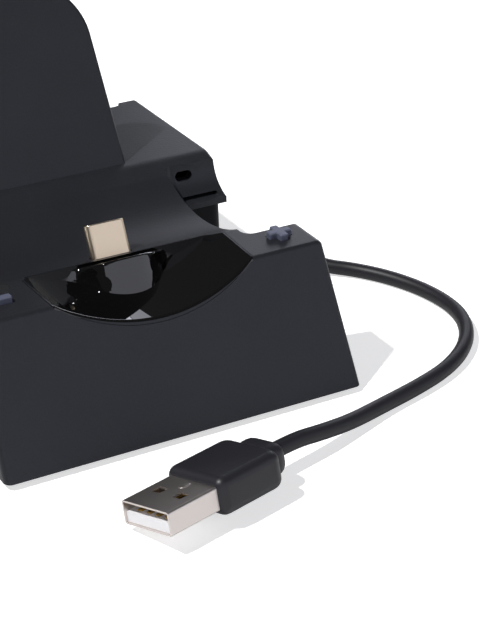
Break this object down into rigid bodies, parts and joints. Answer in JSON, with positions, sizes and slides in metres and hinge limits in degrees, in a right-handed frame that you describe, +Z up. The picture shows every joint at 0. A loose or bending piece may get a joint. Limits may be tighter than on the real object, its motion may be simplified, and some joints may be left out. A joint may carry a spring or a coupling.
{
  "type": "charging station",
  "caption": "Tabletop charging station for a handheld console: leaning USB-C plug in a shallow trough, gloss scoop, back support, side cut-outs and a short supply cord with a USB-A plug.",
  "frame": {"origin": "on the floor under the middle of the housing, measured without the cord and its plug", "axes": "+X to the right seen from the front (the plus mark's end), +Y towards the back support, +Z up"},
  "size_m": [0.1101, 0.1261, 0.0646],
  "materials": {
    "housing": "fine matte texture",
    "cover": "matte",
    "gloss_black": "high gloss",
    "marks": "satin",
    "connector_metal": "satin nickel",
    "dark_moulding": "matte",
    "board": "satin solder mask",
    "screw_steel": "plain",
    "lead": "satin",
    "chip": "matte",
    "can": "satin",
    "foot_rubber": "matte",
    "cord_jacket": "satin",
    "plug_grip": "satin",
    "plug_metal": "satin nickel",
    "plug_white": "satin",
    "contacts": "plain"
  },
  "bodies": {
    "root": {"top_shell": "housing", "bottom_cover": "cover", "connector_bowl": "gloss_black", "plus_mark": "marks", "minus_mark": "marks", "usb_c_shell": "connector_metal", "usb_c_liner": "dark_moulding", "usb_c_base": "dark_moulding", "connector_board": "board", "connector_screws": "screw_steel", "connector_lead": "lead", "main_board": "board", "board_screws": "screw_steel", "charger_chip": "chip", "power_coil": "chip", "capacitors": "can", "cover_screws": "screw_steel", "foot_front_left": "foot_rubber", "foot_front_right": "foot_rubber", "foot_rear_left": "foot_rubber", "foot_rear_right": "foot_rubber", "cord_gland": "cord_jacket", "cord_core": "lead", "supply_cord": "cord_jacket", "plug_grip": "plug_grip", "plug_a_shell": "plug_metal", "plug_insulator": "plug_white", "plug_contacts": "contacts"}
  },
  "joints": []
}
